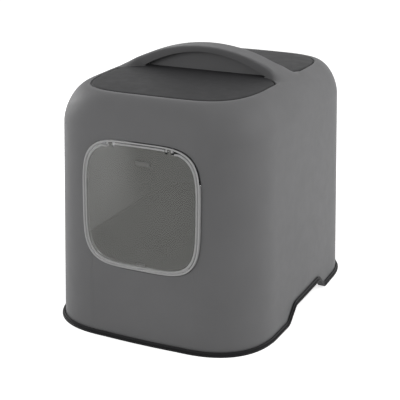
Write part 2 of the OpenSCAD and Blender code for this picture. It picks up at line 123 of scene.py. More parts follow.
class DoorSizes(bpy.types.PropertyGroup):
    """Shape of the door ring and the flap"""

    middle_z: length("Middle height", "Height of the middle of the door", 0.2342)
    half_width: length("Half width", "Half width of the opening inside the ring", 0.1018)
    half_height: length("Half height", "Half height of the opening inside the ring", 0.1035)
    power: share("Squareness", "Squareness of the door's outline", 4.25)
    swing_v: length("Swing height", "Highest that the flap reaches outside its hinges", 0.097)
    hinge_x: length("Hinge place", "Distance of each hinge from the middle", 0.052)
    hinge_v: length("Hinge height", "Height of the hinge line over the door's middle", 0.100)
    pin: length("Pin radius", "Radius of the hinge pins", 0.00125)
    ring: length("Ring width", "Width of the ring's face", 0.0028)
    collar: length("Collar depth", "Depth of the collar behind the ring", 0.015)
    seal: length("Seal width", "Width of the soft strip round the flap", 0.0032)


class TraySizes(bpy.types.PropertyGroup):
    """Shape of the base tray"""

    rim: length("Rim height", "Height of the rim band", 0.008)
    rim_out: length("Rim reach", "How far the rim's lip stands out past the hood", 0.005)
    rim_mid: length("Rim band", "How far the rim stands out above its lip", 0.0024)
    height: length("Height", "Height of the tray's walls", 0.118)
    wall: length("Wall", "Thickness of the walls and floor", 0.0028)
    floor_z: length("Floor height", "Height of the floor's underside", 0.004)
    grip_foot: length("Recess foot", "Half length of a hand recess at the floor", 0.090)
    grip_roof: length("Recess roof", "Half length of a hand recess at its roof", 0.0603)
    grip_high: length("Recess height", "Height of a hand recess", 0.0253)
    grip_deep: length("Recess reach", "Reach of a hand recess under the tray", 0.068)
    arch: length("Arch", "How much longer the flange's arch is than the rim's at each end", 0.050)
    inset_low: length("Low inset", "How far the walls stand behind the hood at the floor", 0.030)
    inset_high: length("High inset", "How far the walls stand behind the hood's foot at the top", 0.0105)


class Finishes(bpy.types.PropertyGroup):
    """Colours of the materials"""

    grey: colour("Hood", "Colour of the hood's plastic", (0.175, 0.175, 0.178))
    dark: colour("Lids", "Colour of the lids' plastic", (0.031, 0.031, 0.0325))
    black: colour("Tray", "Colour of the tray's plastic", (0.018, 0.018, 0.019))
    pale: colour("Ring", "Colour of the door ring's plastic", (0.46, 0.46, 0.46))
    soft: colour("Seal", "Colour of the flap's soft strip", (0.40, 0.40, 0.40))
    smoke: colour("Pane", "Colour of the smoky pane", (0.192, 0.193, 0.180))
    badge: colour("Badge", "Colour of the flap's bare badge plate", (0.20, 0.20, 0.192))
    steel: colour("Steel", "Colour of the pins and magnets", (0.55, 0.55, 0.57))


GROUPS = {
    "box_hood": HoodSizes,
    "box_lids": LidSizes,
    "box_handle": HandleSizes,
    "box_door": DoorSizes,
    "box_tray": TraySizes,
    "box_finishes": Finishes,
}


def sizes(name):
    return getattr(bpy.context.scene, "box_" + name)


# Outlines

CROWN_IN_X = 0.130  # how far in from the shoulder the top's last ring would lie, sideways
CROWN_IN_Y = 0.190  # the same, lengthways
GRIP_FOOT_ROUND = 0.022  # rounding of a hand recess at the floor
GRIP_ROOF_ROUND = 0.014  # rounding of a hand recess at its roof
FLAP_GAP = 0.0008  # gap between the flap and the ring
FLAP_GAP_TOP = 0.0013  # the same, above the flap
TIP_STEP = 0.0025  # distance between the points where a lid follows the handle's foot
TIP_GAP = 0.0006  # gap between a lid's opening and the handle there


def corner_arc(cx, cy, rx, ry, power, steps):
    """A soft corner round the centre cx, cy with reach rx and ry"""
    turns = [math.pi / 2 * i / steps for i in range(steps + 1)]
    return [(cx + rx * abs(math.cos(t)) ** (2 / power), cy + ry * abs(math.sin(t)) ** (2 / power))
            for t in turns]


def all_round(quarter, end):
    """The whole anticlockwise outline of one quarter and the point between it and its mirror"""
    return (quarter + [end]
            + [(-x, y) for x, y in reversed(quarter)]
            + [(-x, -y) for x, y in quarter[1:]]
            + [(end[0], -end[1])]
            + [(x, -y) for x, y in reversed(quarter[1:])])


def plan(a, b, r, side_steps=14, corner_steps=30):
    """Rounded plan outline with half sizes a and b and bowed sides"""
    hood = sizes("hood")
    bow = hood.bow
    side = [(a - bow * (i / side_steps) ** 2, (b - r) * i / side_steps) for i in range(side_steps)]
    corner = corner_arc(a - bow - r, b - r, r, r - bow, hood.corner_power, corner_steps)
    end = [((a - bow - r) * i / 6, b - bow * (i / 6) ** 2) for i in range(5, 0, -1)]
    return all_round(side + corner + end, (0, b))


def foot_plan(d, **steps):
    """Plan outline of the hood's foot, moved inwards by d"""
    hood = sizes("hood")
    return plan(hood.width / 2 - d, hood.depth / 2 - d, hood.corner - d, **steps)


def top_at(x, y):
    """Height of the top's outer face"""
    hood = sizes("hood")
    return hood.height - hood.crown_y * (y / 0.2) ** 2 - hood.crown_x * (x / 0.15) ** 2


def hood_ring(d, reach_x, reach_y, rise):
    """Ring of the shell with an inward reach, at a share of the way from the shoulder to the top"""
    hood = sizes("hood")
    radius = hood.corner - d - (reach_x + reach_y) / 4
    outline = plan(hood.width / 2 - d - reach_x, hood.depth / 2 - d - reach_y, radius)
    low = hood.shoulder_z
    return [(x, y, low + (top_at(x, y) - d - low) * rise) for x, y in outline]


def hood_rings(d, z_foot, roll_steps=22):
    """All rings of the shell's skin, moved inwards by d"""
    hood = sizes("hood")
    lean = math.tan(hood.draft)
    lean_in = hood.shoulder_z * lean
    foot = [(x, y, z_foot) for x, y, _ in hood_ring(d, z_foot * lean, z_foot * lean, 0)]
    rings = [foot, hood_ring(d, lean_in, lean_in, 0)]
    for i in range(1, roll_steps + 1):
        t = math.pi / 2 * i / roll_steps
        inward = 1 - abs(math.cos(t)) ** (2 / hood.shoulder_power)
        rise = math.sin(t) ** (2 / hood.shoulder_power)
        rings.append(hood_ring(
            d, lean_in + hood.shoulder_x * inward, lean_in + hood.shoulder_y * inward, rise))
    for u in (0.1, 0.25, 0.4, 0.55):
        rings.append(hood_ring(
            d, lean_in + hood.shoulder_x + CROWN_IN_X * u, lean_in + hood.shoulder_y + CROWN_IN_Y * u, 1))
    return rings


def round_corner(a, b, c, radius, steps=8):
    """Points of an arc that rounds the corner b between a and c"""
    a, b, c = Vector(a), Vector(b), Vector(c)
    u, v = (a - b).normalized(), (c - b).normalized()
    half = u.angle(v) / 2
    centre = b + (u + v).normalized() * radius / math.sin(half)
    start = b + u * radius / math.tan(half) - centre
    turn = (math.pi - 2 * half) * (-1 if u.x * v.y - u.y * v.x > 0 else 1)
    points = []
    for i in range(steps + 1):
        angle = turn * i / steps
        points.append(centre + Vector((
            start.x * math.cos(angle) - start.y * math.sin(angle),
            start.x * math.sin(angle) + start.y * math.cos(angle))))
    return [tuple(p) for p in points]


def grip_edge(d):
    """Half of a hand recess outline in y and z, from the floor to the roof, moved outwards by d"""
    tray = sizes("tray")
    miter = math.tan(math.atan2(tray.grip_high, tray.grip_foot - tray.grip_roof) / 2)
    foot = (tray.grip_foot + miter * d, d)
    roof = (tray.grip_roof + miter * d, tray.grip_high + d)
    return (round_corner((0.5, d), foot, roof, GRIP_FOOT_ROUND - d)
            + round_corner(foot, roof, (0, tray.grip_high + d), GRIP_ROOF_ROUND + d))


def foot_line(y, edge):
    """Height of a recess outline at a distance y from the middle of a side"""
    y = abs(y)
    if y >= edge[0][0]:
        return edge[0][1]
    for (y0, z0), (y1, z1) in zip(edge, edge[1:]):
        if y >= y1:
            return z1 + (z0 - z1) * (y - y1) / (y0 - y1)
    return edge[-1][1]


def mouth_half(g, arc_steps=30):
    """Right half of the front lid opening, moved inwards by g"""
    lids, web = sizes("lids"), sizes("handle").web
    w, reach, start = lids.half_width, lids.reach, lids.notch
    tip = [(start - g, web / 2 + TIP_GAP + g)]
    for i in range(13):
        x, u = start + TIP_STEP * i, i / 12
        tip.append((x - g * u, handle_half_lip(x) + TIP_GAP + g * (1.3 - u / 2)))
    tip += [(w - 0.0018 - 2 * g, 0.053 + g / 2), (w - 0.0014 - 1.6 * g, 0.065 + g / 2)]
    arc = []
    for i in range(arc_steps + 1):
        t = math.radians(15 + 72 * i / arc_steps)
        arc.append(((w - g) * math.cos(t) ** (2 / lids.power),
                    (reach - g) * math.sin(t) ** (2 / lids.power)))
    return [(x, -y) for x, y in tip + arc]


def mouth(g):
    """Outline of the front lid opening, moved inwards by g"""
    right = mouth_half(g)
    return right + [(0, -(sizes("lids").reach - g))] + [(-x, y) for x, y in reversed(right)]


def door_outline(half_width, low, high, step=2.5):
    """The door's squarish outline, with its own height above the middle"""
    power = sizes("door").power
    points = []
    for i in range(round(360 / step)):
        c, s = math.cos(math.radians(i * step)), math.sin(math.radians(i * step))
        points.append((math.copysign(abs(c) ** (2 / power), c) * half_width,
                       math.copysign(abs(s) ** (2 / power), s) * (high if s > 0 else low)))
    return points


def at_door(x, inward, v):
    """A point of the door's own frame: across, behind the wall's face and up the wall"""
    hood, door = sizes("hood"), sizes("door")
    face = hood.depth / 2 - door.middle_z * math.tan(hood.draft)
    c, s = math.cos(hood.draft), math.sin(hood.draft)
    return (x, -face + inward * c + v * s, door.middle_z - inward * s + v * c)


def door_ring_points(offset, inward):
    """The door opening's outline, moved outwards by an offset, at a depth behind the wall's face"""
    door = sizes("door")
    outline = door_outline(door.half_width + offset, door.half_height + offset,
                           door.half_height + offset)
    return [at_door(x, inward, v) for x, v in outline]


def flap_points(d, inward):
    """The flap's outline, moved inwards by d, which stays low outside the hinges to swing clear"""
    door = sizes("door")
    outline = door_outline(door.half_width - FLAP_GAP - d, door.half_height - FLAP_GAP - d,
                           door.half_height - FLAP_GAP_TOP - d)
    return [at_door(x, inward, min(v, door.swing_v - d) if abs(x) > door.hinge_x else v)
            for x, v in outline]


# Modelling


def deselect():
    if bpy.context.object and bpy.context.object.mode != "OBJECT":
        bpy.ops.object.mode_set(mode="OBJECT")
    bpy.ops.object.select_all(action="DESELECT")


def only(piece):
    """Makes a piece the one that is active and selected"""
    deselect()
    piece.select_set(True)
    bpy.context.view_layer.objects.active = piece


def added(name):
    """Names the new primitive and puts its place into its mesh"""
    piece = bpy.context.object
    piece.name = name
    bpy.ops.object.transform_apply(location=True, rotation=True, scale=True)
    return piece


def drawn(name, rings, closed=False):
    """A tube extruded ring by ring, capped at both ends or closed on itself"""
    deselect()
    bpy.ops.mesh.primitive_circle_add(vertices=len(rings[0]), radius=1, fill_type="NOTHING")
    piece = added(name)
    for vertex, place in zip(piece.data.vertices, rings[0]):
        vertex.co = place
    bpy.ops.object.mode_set(mode="EDIT")
    bpy.ops.mesh.select_mode(type="VERT")
    bpy.ops.mesh.select_all(action="SELECT")
    order = [tuple(v.co) for v in bmesh.from_edit_mesh(piece.data).verts]
    for ring in rings[1:] + (rings[:1] if closed else []):
        bpy.ops.mesh.extrude_edges_move()
        mesh = bmesh.from_edit_mesh(piece.data)
        index = {place: i for i, place in enumerate(order)}
        fresh = {index[tuple(v.co)]: v for v in mesh.verts if v.select}
        for i, vertex in fresh.items():
            vertex.co = ring[i]
        order = [tuple(fresh[i].co) for i in range(len(ring))]
        bmesh.update_edit_mesh(piece.data)
    bpy.ops.mesh.select_all(action="SELECT")
    if closed:
        bpy.ops.mesh.remove_doubles(threshold=1e-6)
    else:
        bpy.ops.mesh.select_all(action="DESELECT")
        bpy.ops.mesh.select_mode(type="EDGE")
        bpy.ops.mesh.select_non_manifold()
        bpy.ops.mesh.edge_face_add()
    bpy.ops.mesh.select_mode(type="VERT")
    bpy.ops.mesh.select_all(action="SELECT")
    bpy.ops.mesh.normals_make_consistent(inside=False)
    bpy.ops.object.mode_set(mode="OBJECT")
    return piece


def block(name, low, high):
    """A plain tool block between two corners"""
    deselect()
    middle = [(a + b) / 2 for a, b in zip(low, high)]
    bpy.ops.mesh.primitive_cube_add(size=1, location=middle)
    bpy.context.object.scale = [b - a for a, b in zip(low, high)]
    return added(name)


def rod(name, radius, xs, y, z):
    """A round bar along X between the two places xs"""
    deselect()
    bpy.ops.mesh.primitive_cylinder_add(
        vertices=48, radius=radius, depth=xs[1] - xs[0],
        location=((xs[0] + xs[1]) / 2, y, z), rotation=(0, math.pi / 2, 0))
    return added(name)


def span(side, near, far):
    """The stretch along X between two distances from the middle, on one side"""
    return sorted((side * near, side * far))


def around(x, half):
    return (x - half, x + half)


def upright(name, outline, heights):
    """A flat outline drawn straight up between heights"""
    return drawn(name, [[(x, y, z) for x, y in outline] for z in heights])


def door_block(name, xs, vs, depths):
    """A block in the door's own frame: across, up the wall and behind its face"""
    outline = [(xs[0], vs[0]), (xs[1], vs[0]), (xs[1], vs[1]), (xs[0], vs[1])]
    return drawn(name, [[at_door(x, depth, v) for x, v in outline] for depth in depths])


def combine(piece, tool, operation):
    """Applies a boolean with a tool, which is then deleted"""
    only(piece)
    modifier = piece.modifiers.new("combine", "BOOLEAN")
    modifier.object = tool
    modifier.operation = operation
    modifier.solver = "MANIFOLD"
    bpy.ops.object.modifier_apply(modifier=modifier.name)
    bpy.data.objects.remove(tool)
    if not piece.data.vertices:
        raise RuntimeError(f"{piece.name} vanished in a boolean")
    return piece


def cut(piece, tool):
    return combine(piece, tool, "DIFFERENCE")


def join(piece, tool):
    return combine(piece, tool, "UNION")


def mirrored(piece, axis):
    """A copy of a piece mirrored in the plane across an axis, with its faces outwards"""
    only(piece)
    bpy.ops.object.duplicate()
    copy = bpy.context.object
    copy.data.transform(Matrix.Scale(-1, 4, axis))
    copy.data.flip_normals()
    return copy


def smooth(piece, degrees=35):
    only(piece)
    bpy.ops.object.shade_smooth_by_angle(angle=math.radians(degrees))


def dress(piece, material, body, slot, *nodes):
    """Gives a piece its finish and its body, and hides the nodes that it stands for"""
    piece.data.materials.clear()
    piece.data.materials.append(material)
    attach(piece, body)
    if nodes:
        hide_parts(*nodes)


# Materials


class Sheet:
    """A node sheet that is filled from left to right"""

    def __init__(self, name):
        self.material = bpy.data.materials.new(name)
        self.material.use_nodes = True
        self.nodes = self.material.node_tree.nodes
        self.links = self.material.node_tree.links
        self.shader = self.nodes["Principled BSDF"]

    def add(self, kind, **values):
        node = self.nodes.new("ShaderNode" + kind)
        for key, value in values.items():
            if key in node.inputs:
                node.inputs[key].default_value = value
            else:
                setattr(node, key, value)
        return node

    def link(self, source, target):
        self.links.new(source, target)

    def texture(self, kind, output, **values):
        """A texture that stays with the object's own coordinates"""
        place = self.add("TexCoord")
        node = self.add(kind, **values)
        self.link(place.outputs["Object"], node.inputs["Vector"])
        return node.outputs[output]

    def noise(self, scale, detail=3.0):
        return self.texture("TexNoise", "Fac", Scale=scale, Detail=detail, Roughness=0.55)

    def cells(self, scale):
        return self.texture("TexVoronoi", "Distance", Scale=scale, feature="SMOOTH_F1")

    def spread(self, source, low, high):
        """Maps a texture's usual span onto low to high"""
        node = self.add("MapRange", **{"From Min": 0.3, "From Max": 0.7, "To Min": low, "To Max": high})
        self.link(source, node.inputs["Value"])
        return node.outputs["Result"]

    def tint(self, source, base, amount):
        """Varies a colour by an amount up and down with a texture"""
        node = self.add("Mix", data_type="RGBA")
        slots = [s for s in node.inputs if s.type == "RGBA"]
        slots[0].default_value = [c * (1 - amount) for c in base] + [1]
        slots[1].default_value = [min(1, c * (1 + amount)) for c in base] + [1]
        self.link(self.spread(source, 0, 1), node.inputs["Factor"])
        return [s for s in node.outputs if s.type == "RGBA"][0]

    def bump(self, layers):
        """Stacks bump layers, each a texture, a strength and a height in metres"""
        normal = None
        for source, strength, height in layers:
            node = self.add("Bump", Strength=strength, Distance=height)
            self.link(source, node.inputs["Height"])
            if normal:
                self.link(normal, node.inputs["Normal"])
            normal = node.outputs["Normal"]
        self.link(normal, self.shader.inputs["Normal"])


def moulded_plastic(name, base, roughness, grain_scale=900, grain=0.25, variation=0.03):
    """Matt moulded plastic with a fine spark-eroded grain and faint flow marks"""
    sheet = Sheet(name)
    sheet.link(sheet.tint(sheet.noise(14, 2), base, variation), sheet.shader.inputs["Base Color"])
    sheet.link(sheet.spread(sheet.noise(60, 4), roughness - 0.04, roughness + 0.04),
               sheet.shader.inputs["Roughness"])
    sheet.shader.inputs["Specular IOR Level"].default_value = 0.11
    sheet.bump([(sheet.cells(grain_scale), grain, 0.00012),
                (sheet.noise(grain_scale * 2.2, 2), grain * 0.6, 0.00006),
                (sheet.noise(9, 1), 0.12, 0.0006)])
    return sheet.material


def smoky_pane(name, base):
    """See-through smoky sheet with faint moulding waves"""
    sheet = Sheet(name)
    sheet.link(sheet.tint(sheet.noise(7, 2), base, 0.03), sheet.shader.inputs["Base Color"])
    sheet.link(sheet.spread(sheet.noise(40, 3), 0.13, 0.19), sheet.shader.inputs["Roughness"])
    sheet.shader.inputs["Alpha"].default_value = 0.5
    sheet.shader.inputs["IOR"].default_value = 1.49
    sheet.bump([(sheet.noise(11, 1), 0.10, 0.0006)])
    return sheet.material


def soft_strip(name, base):
    """Soft matt strip with a faint mottled bloom"""
    sheet = Sheet(name)
    sheet.link(sheet.tint(sheet.noise(120, 3), base, 0.06), sheet.shader.inputs["Base Color"])
    sheet.link(sheet.spread(sheet.noise(300, 3), 0.50, 0.62), sheet.shader.inputs["Roughness"])
    sheet.bump([(sheet.noise(1500, 3), 0.2, 0.00008)])
    return sheet.material


def drawn_steel(name, base):
    """Drawn steel wire with fine lengthways scratches"""
    sheet = Sheet(name)
    place = sheet.add("TexCoord")
    stretch = sheet.add("Mapping")
    stretch.inputs["Scale"].default_value = (1, 60, 60)
    scratches = sheet.add("TexNoise", Scale=90, Detail=4)
    sheet.link(place.outputs["Object"], stretch.inputs["Vector"])
    sheet.link(stretch.outputs["Vector"], scratches.inputs["Vector"])
    lines = scratches.outputs["Fac"]
    sheet.link(sheet.tint(lines, base, 0.08), sheet.shader.inputs["Base Color"])
    sheet.link(sheet.spread(lines, 0.25, 0.42), sheet.shader.inputs["Roughness"])
    sheet.shader.inputs["Metallic"].default_value = 1
    sheet.bump([(lines, 0.15, 0.00005)])
    return sheet.material


def finish(name):
    """A material of the box, made when it is first asked for"""
    if name in bpy.data.materials:
        return bpy.data.materials[name]
    paint = sizes("finishes")
    makers = {
        "hood_plastic": lambda: moulded_plastic(name, paint.grey, 0.52),
        "lid_plastic": lambda: moulded_plastic(name, paint.dark, 0.55),
        "tray_plastic": lambda: moulded_plastic(name, paint.black, 0.5),
        "ring_plastic": lambda: moulded_plastic(name, paint.pale, 0.38, 1500, 0.08, 0.02),
        "seal_strip": lambda: soft_strip(name, paint.soft),
        "pane_plastic": lambda: smoky_pane(name, paint.smoke),
        "badge_plastic": lambda: moulded_plastic(name, paint.badge, 0.45, 1500, 0.08, 0.02),
        "pin_steel": lambda: drawn_steel(name, paint.steel),
    }
    return makers[name]()


# Hood

CORNERS = [(side, end) for side in (-1, 1) for end in (-1, 1)]
HANDLE_ARCH = 1.81  # fall of the handle's top, in metres for each square metre from the middle
LIP_ARCH = 2.45  # the same for its lower edge
FLARE_FROM = 0.112  # distance from the middle at which the handle starts to widen
FOOT_FROM = 0.126  # distance at which its section starts to turn into the foot's
FOOT_BLEND = 0.030  # length over which it does so
FOOT_SINKS = 0.153  # distance at which the foot starts to sink into the shoulder
FOOT_THIN = 0.0014  # how far it stands over the shoulder there
FOOT_HALF = 0.066  # most that the foot reaches on each side
WEB_END = 0.150  # distance of the web's ends from the middle
WEB_ARCHED = 0.110  # distance up to which it follows the handle
WEB_FOOT_Z = 0.396  # height of the web's lower edge
COLLAR_TOP = (0.052, 0.132)  # stretch of the door collar that is cut back, over the door's middle


def mouth_cutter(name):
    """What a lid opening takes out of the top, down to its ledge, with a softly rounded edge"""
    lids = sizes("lids")
    wall = sizes("hood").wall
    rings = []
    steps = [(0, -wall - 0.0003), (0, -0.0009), (-0.0002, -0.0004), (-0.0005, -0.0001),
             (-0.001, 0.0001), (-0.001, 0.08)]
    for g, rise in steps:
        rings.append([(x, y, top_at(x, y) + rise) for x, y in mouth(g)])
    piece = drawn(name, rings)
    join(piece, upright("well", mouth(lids.ledge_in), (0.30, 0.47)))
    strip = upright("strip", mouth(0.00002), (0.32, 0.4095))
    combine(strip, block("near", (-0.2, -lids.ledge_end, 0.3), (0.2, 0, 0.5)), "INTERSECT")
    return join(piece, strip)


def ledge_ring(name):
    """The ledge inside the front opening on which the lid's edge rests"""
    lids = sizes("lids")
    piece = upright(name, mouth(-0.003), (lids.ledge_z, lids.ledge_z + 0.03))
    cut(piece, upright("ledge_hole", mouth(lids.ledge_in), (0.39, 0.45)))
    return cut(piece, block("ledge_end", (-0.2, -lids.ledge_end, 0.35), (0.2, 0.05, 0.5)))


def door_collar(name):
    """The collar round the door opening, cut back at its top so that the flap can swing"""
    door = sizes("door")
    edge = door.ring + 0.0034
    piece = drawn(name, [door_ring_points(edge, z) for z in (-0.012, door.collar)])
    return cut(piece, door_block("collar_top", (-0.2, 0.2), COLLAR_TOP, (0.0046, 0.03)))


def flare(x, reach, run, power):
    """How much wider the handle is at x, growing to a reach over a run"""
    return reach * ((abs(x) - FLARE_FROM) / run) ** power if abs(x) > FLARE_FROM else 0


def handle_half_top(x):
    return sizes("handle").half + flare(x, 0.034, 0.042, 1.9)


def handle_half_lip(x):
    return sizes("handle").half - 0.002 + flare(x, 0.040, 0.038, 2.1)


def handle_top(x):
    return sizes("handle").top_z - HANDLE_ARCH * x * x


def handle_lip(x):
    return sizes("handle").lip_z - LIP_ARCH * x * x


def deck_at(x):
    """Height of the hood's outer face under the handle's foot"""
    hood = sizes("hood")
    edge = hood.width / 2 - hood.shoulder_z * math.tan(hood.draft) - hood.shoulder_x
    u = min(1, max(0, (abs(x) - edge) / hood.shoulder_x))
    rise = (1 - u ** hood.shoulder_power) ** (1 / hood.shoulder_power)
    return hood.shoulder_z + (top_at(x, 0.040) - hood.shoulder_z) * rise


def foot_over(x):
    """How far the handle's foot stands over that face, until it sinks into the shoulder"""
    if abs(x) < FOOT_SINKS:
        return handle_top(x) - deck_at(x)
    return FOOT_THIN - 0.2 * (abs(x) - FOOT_SINKS)


def handle_side(x, steps):
    """One side of the handle's section, from its lower edge up to its flat top"""
    top = handle_top(x)
    lip = max(handle_lip(x), deck_at(x) - sizes("handle").sunk)
    low, high = handle_half_lip(x), handle_half_top(x)
    r = 0.0025 + 0.003 * max(0, (abs(x) - 0.080) / 0.040)
    turns = [math.pi / 2 * i / steps for i in range(steps + 1)]
    return ([(low, lip), ((low + high) / 2, (lip + top - r) / 2)]
            + [(high - r + r * math.cos(t), top - r + r * math.sin(t)) for t in turns]
            + [(high * 0.4, top)])


def foot_side(x, count):
    """As many points on the swell, which runs out flat onto the hood"""
    sunk = sizes("handle").sunk
    wide, low, high = min(FOOT_HALF, handle_half_lip(x)), deck_at(x) - sunk, foot_over(x) + sunk
    shares = [math.cos(math.radians(81) * i / (count - 1)) for i in range(count)]
    return [(wide * u, low + high * (1 - u * u) ** 1.6) for u in shares]


def handle_section(x, steps=8):
    """Cross-section at x, blended from the handle's own shape to the soft swell of its feet"""
    u = min(1, max(0, (abs(x) - FOOT_FROM) / FOOT_BLEND))
    share_of_foot = u * u * (3 - 2 * u)
    own = handle_side(x, steps)
    foot = foot_side(x, len(own))
    side = [(a[0] + (b[0] - a[0]) * share_of_foot, a[1] + (b[1] - a[1]) * share_of_foot)
            for a, b in zip(own, foot)]
    return [(x, y, z) for y, z in side + [(-y, z) for y, z in reversed(side)]]


def handle_bar(name, count=120):
    reach = sizes("handle").reach
    return drawn(name, [handle_section(reach * (2 * i / count - 1)) for i in range(count + 1)])


def web_plate(name, count=30):
    """The upright web between the lids, which carries the handle"""
    half = sizes("handle").web / 2
    xs = [WEB_ARCHED * (1 - 2 * i / count) for i in range(count + 1)]
    high = sizes("hood").height - 0.0022
    profile = [(-WEB_END, WEB_FOOT_Z), (WEB_END, WEB_FOOT_Z), (WEB_END, high)]
    profile += [(x, handle_lip(x) + 0.003) for x in xs] + [(-WEB_END, high)]
    return drawn(name, [[(x, y, z) for x, z in profile] for y in (-half, half)])


def pin_bracket(name, side, end):
    """A bracket under the top that holds one lid pin"""
    lids = sizes("lids")
    y = end * abs(LID_HINGE_Y)
    piece = rod(name, lids.bracket, span(side, 0.1405, 0.153), y, LID_HINGE_Z)
    xs = span(side, 0.1492, 0.1542)
    return join(piece, block("bracket_web", (xs[0], y - lids.bracket, LID_HINGE_Z),
                             (xs[1], y + lids.bracket, LID_HINGE_Z + 0.0052)))


def below_foot(d):
    """A tool that trims the hood along its foot line, raised by d over the hand recesses"""
    edge = grip_edge(d)
    line = [(0.5, -0.02), (0.5, d)] + edge + [(-y, z) for y, z in reversed(edge)]
    line += [(-0.5, d), (-0.5, -0.02)]
    return drawn("foot_trim", [[(x, y, z) for y, z in line] for x in (-0.4, 0.4)])


def shell(name):
    """The hood's hollow shell with its ledges and its door collar"""
    inside = drawn("inside", hood_rings(sizes("hood").wall, -0.006))
    cut(inside, door_collar("collar"))
    front_ledge = ledge_ring("front_ledge")
    rear_ledge = mirrored(front_ledge, (0, 1, 0))
    cut(inside, front_ledge)
    cut(inside, rear_ledge)
    return cut(drawn(name, hood_rings(0, -0.005)), inside)


class BOX_OT_hood(bpy.types.Operator):
    """Models the hood: shell, lid openings, handle, web, door opening and foot line"""

    bl_idname = "litter_box.hood"
    bl_label = "Hood"

    def execute(self, context):
        tray, lids = sizes("tray"), sizes("lids")
        bore = sizes("door").ring + 0.0006
        piece = shell("hood_shell")
        front = mouth_cutter("front_mouth")
        rear = mirrored(front, (0, 1, 0))
        cut(piece, front)
        cut(piece, rear)
        join(piece, handle_bar("handle"))
        join(piece, web_plate("web"))
        for side, end in CORNERS:
            join(piece, pin_bracket("bracket", side, end))
        cut(piece, below_foot(tray.wall + 0.0003))
        steps = [(0.0010, -0.014), (0.0010, 0.0), (0.0006, 0.0006), (0.0006, 0.0026),
                 (0, 0.0030), (0, 0.017)]
        cut(piece, drawn("door_bore", [door_ring_points(bore + wider, z) for wider, z in steps]))
        for side, end in CORNERS:
            y = end * abs(LID_HINGE_Y)
            cut(piece, rod("pin_hole", lids.pin, span(side, 0.140, 0.151), y, LID_HINGE_Z))
        smooth(piece)
        dress(piece, finish("hood_plastic"), "hood", "grey_plastic", "hood")
        return {"FINISHED"}


# Lids

PIN_GAP = 0.00005  # gap round a pin in the piece that turns on it
RIB_X = 0.060  # distance of a lid's stiffening ribs from the middle
RIB_HALF = 0.0012  # half the thickness of such a rib


def lid_panel(name):
    """The front lid's panel: a crowned skin with rounded edges and a skirt, open underneath"""
    lids, wall = sizes("lids"), sizes("hood").wall
    gap, edge = lids.gap, lids.edge
    centre = (0, -(lids.reach + 0.004) / 2)
    rings = []

    def shrunk(g, share_in, rise, flat=None):
        ring = []
        for x, y in mouth(g):
            px, py = x + (centre[0] - x) * share_in, y + (centre[1] - y) * share_in
            ring.append((px, py, flat if flat is not None else top_at(px, py) + rise))
        return ring

    for u in (0.8, 0.5, 0.25, 0.08):
        rings.append(shrunk(gap + wall, u, -wall))
    rings.append(shrunk(gap + wall, 0, -wall - 0.0012))
    rings.append(shrunk(gap + wall, 0, 0, lids.foot_z))
    rings.append(shrunk(gap, 0, 0, lids.foot_z))
    for i in range(5):
        t = math.pi / 2 * i / 4
        rings.append(shrunk(gap + edge * (1 - math.cos(t)), 0, -edge + edge * math.sin(t)))
    for u in (0.04, 0.12, 0.3, 0.55, 0.8):
        rings.append(shrunk(gap + edge, u, 0))
    return drawn(name, rings)


def front_lid(name):
    """The front lid with its stiffening ribs, hinge bosses and pin bores"""
    lids, wall = sizes("lids"), sizes("hood").wall
    piece = lid_panel(name)
    y = -abs(LID_HINGE_Y)
    for x in (-RIB_X, RIB_X):
        rib = block("rib", (x - RIB_HALF, -lids.reach + 0.010, lids.foot_z + 0.001),
                    (x + RIB_HALF, -0.030, 0.4080 - wall / 2))
        join(piece, rib)
    for side in (-1, 1):
        xs = span(side, 0.126, 0.1395)
        boss = rod("boss", lids.boss, xs, y, LID_HINGE_Z)
        join(boss, block("boss_web", (xs[0], y - lids.boss, LID_HINGE_Z),
                         (xs[1], y + lids.boss, LID_HINGE_Z + 0.0056)))
        join(piece, boss)
    return cut(piece, rod("pin_bore", lids.pin + PIN_GAP, (-0.141, 0.141), y, LID_HINGE_Z))


class BOX_OT_lids(bpy.types.Operator):
    """Models the front lid and its mirrored copy at the rear"""

    bl_idname = "litter_box.lids"
    bl_label = "Top lids"

    def execute(self, context):
        front = front_lid("front_lid_panel")
        rear = mirrored(front, (0, 1, 0))
        rear.name = "rear_lid_panel"
        for piece, body in ((front, "front_lid"), (rear, "rear_lid")):
            smooth(piece)
            dress(piece, finish("lid_plastic"), body, "dark_plastic", body)
        return {"FINISHED"}


# Door

EAR_HALF = 0.0015  # half the width of an ear that holds a hinge pin
EAR_RADIUS = 0.0026
EAR_APART = 0.0049  # distance of an ear from the middle of its hinge
KNUCKLE_HALF = 0.003  # half the width of a hinge knuckle
KNUCKLE_RADIUS = 0.0024
KNUCKLE_ROOM = 0.0028  # radius of the room in the ring for a knuckle to turn
POCKET_HALF = 0.009  # half the width of the magnet's pocket
POCKET_UP = 0.005  # height of the pocket's foot over the opening's lowest line
POCKET_HIGH = 0.0054


def pocket_foot():
    return -sizes("door").half_height + POCKET_UP


def magnet_pocket(name, depths):
    low = pocket_foot()
    return door_block(name, (-POCKET_HALF, POCKET_HALF), (low, low + POCKET_HIGH), depths)


